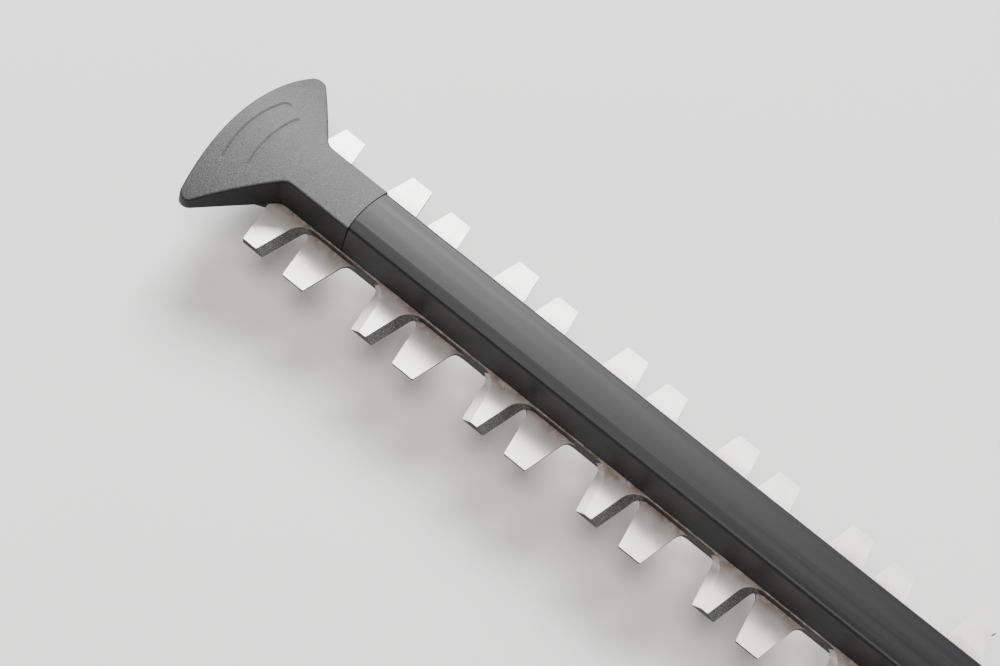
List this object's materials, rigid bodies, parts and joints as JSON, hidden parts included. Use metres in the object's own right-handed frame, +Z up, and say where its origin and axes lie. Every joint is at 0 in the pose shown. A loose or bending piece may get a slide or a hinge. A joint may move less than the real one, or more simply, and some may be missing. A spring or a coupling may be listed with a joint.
{
  "type": "hedge trimmer",
  "caption": "Cordless double-sided hedge trimmer with a long toothed bar, fan-shaped tip guard, loop front handle, D-shaped rear grip and slide-off battery.",
  "frame": {"origin": "centre of the bounding box on the surface that the tool rests on", "axes": "+X along the cutting bar to its tip, +Y to the user's left, +Z up"},
  "size_m": [0.872, 0.197, 0.2195],
  "materials": {
    "blade_steel": "ground, satin",
    "cover_plastic": "satin moulded",
    "guard_plastic": "fine-grained moulded",
    "shell_plastic": "fine-grained moulded",
    "accent_plastic": "moulded",
    "black_plastic": "moulded",
    "soft_rubber": "soft",
    "felt": "pressed felt",
    "cast_alloy": "die cast",
    "bar_steel": "rolled",
    "zinc_steel": "zinc plated",
    "gear_steel": "sintered",
    "spring_steel": "drawn",
    "magnet": "sintered",
    "can_steel": "zinc plated",
    "copper": "enamelled wire",
    "carbon": "pressed carbon",
    "board": "solder mask",
    "cable": "insulated wire",
    "contact_brass": "plated",
    "cell_sleeve": "shrink sleeve",
    "lamp": "light pipe"
  },
  "bodies": {
    "machine": {"bar_cover": "cover_plastic", "support_bar": "bar_steel", "blade_bushes": "gear_steel", "blade_washers": "zinc_steel", "blade_bolts": "zinc_steel", "blade_nuts": "zinc_steel", "tip_guard": "guard_plastic", "tip_guard_base": "guard_plastic", "guard_screws": "zinc_steel", "gearcase": "cast_alloy", "gearcase_gasket": "black_plastic", "gearcase_cover": "cast_alloy", "gearcase_screws": "zinc_steel", "blade_wiper": "felt", "bar_screws": "zinc_steel", "shaft_bearings": "gear_steel", "motor_can": "can_steel", "motor_screws": "zinc_steel", "motor_magnets": "magnet", "motor_end_cap": "black_plastic", "motor_brushes": "carbon", "housing_left": "shell_plastic", "housing_right": "shell_plastic", "housing_screws": "zinc_steel", "front_foot": "soft_rubber", "grip_overmould": "soft_rubber", "hand_guard": "black_plastic", "hand_guard_screws": "zinc_steel", "handle_front": "shell_plastic", "handle_back": "shell_plastic", "handle_screws": "zinc_steel", "handle_bolts": "zinc_steel", "switch_bar_springs": "spring_steel", "microswitch": "black_plastic", "trigger_pin": "zinc_steel", "trigger_spring": "spring_steel", "lock_off_spring": "spring_steel", "main_switch": "black_plastic", "control_board": "board", "terminal_block": "contact_brass", "power_leads": "cable"},
    "crank": {"crank_shaft": "gear_steel", "crank_gear": "gear_steel"},
    "upper_cutter": {"upper_blade": "blade_steel"},
    "lower_cutter": {"lower_blade": "blade_steel"},
    "rotor": {"motor_rotor": "copper", "cooling_fan": "black_plastic", "drive_pinion": "gear_steel"},
    "trigger_lever": {"trigger": "accent_plastic"},
    "lock_off": {"lock_off_button": "accent_plastic"},
    "front_switch": {"switch_bar": "accent_plastic"},
    "battery": {"battery_case": "shell_plastic", "battery_lid": "black_plastic", "battery_cells": "cell_sleeve", "battery_terminals": "contact_brass", "charge_lights": "lamp", "release_spring": "spring_steel"},
    "release": {"battery_release": "accent_plastic"},
    "charge": {"charge_button": "accent_plastic"}
  },
  "joints": [
    {"name": "crank_spin", "type": "hinge", "parent": "machine", "child": "crank", "pos_m": [-0.136, 0, 0.024], "axis": [0, 0, 1], "range_deg": [-63.36, 26.64]},
    {"name": "upper_blade_slide", "type": "slide", "parent": "machine", "child": "upper_cutter", "axis": [1, 0, 0], "range_m": [-0.00431, 0.01024]},
    {"name": "lower_blade_slide", "type": "slide", "parent": "machine", "child": "lower_cutter", "axis": [1, 0, 0], "range_m": [-0.01024, 0.00431]},
    {"name": "rotor_spin", "type": "hinge", "parent": "machine", "child": "rotor", "pos_m": [-0.1756, 0, 0.04], "axis": [0, 0, 1], "range_deg": [-133.3, 316.9]},
    {"name": "trigger_squeeze", "type": "hinge", "parent": "machine", "child": "trigger_lever", "pos_m": [-0.244, 0, 0.13], "axis": [0, 1, 0], "range_deg": [0, 12], "stiffness_Nm_per_rad": 0.8, "springref_deg": -5.73},
    {"name": "lock_off_press", "type": "slide", "parent": "machine", "child": "lock_off", "axis": [0, 0, -1], "range_m": [0, 0.004], "stiffness_N_per_m": 400, "springref_m": -0.004, "deforming": ["lock_off_spring"]},
    {"name": "front_switch_squeeze", "type": "slide", "parent": "machine", "child": "front_switch", "axis": [0, 0, 1], "range_m": [0, 0.004], "stiffness_N_per_m": 900, "springref_m": -0.004, "deforming": ["switch_bar_springs"]},
    {"name": "battery_slide_off", "type": "slide", "parent": "machine", "child": "battery", "axis": [-1, 0, 0], "range_m": [0, 0.12]},
    {"name": "battery_release_press", "type": "slide", "parent": "battery", "child": "release", "axis": [0, 0, -1], "range_m": [0, 0.0025], "stiffness_N_per_m": 900, "springref_m": -0.003, "deforming": ["release_spring"]},
    {"name": "charge_button_press", "type": "slide", "parent": "battery", "child": "charge", "axis": [1, 0, 0], "range_m": [0, 0.001], "stiffness_N_per_m": 300, "springref_m": -0.002}
  ],
  "couplings": [
    {"joint": "upper_blade_slide", "follows": "crank_spin", "m_per_rad": -0.00925},
    {"joint": "lower_blade_slide", "follows": "crank_spin", "m_per_rad": 0.00925},
    {"joint": "rotor_spin", "follows": "crank_spin", "ratio": -5}
  ]
}
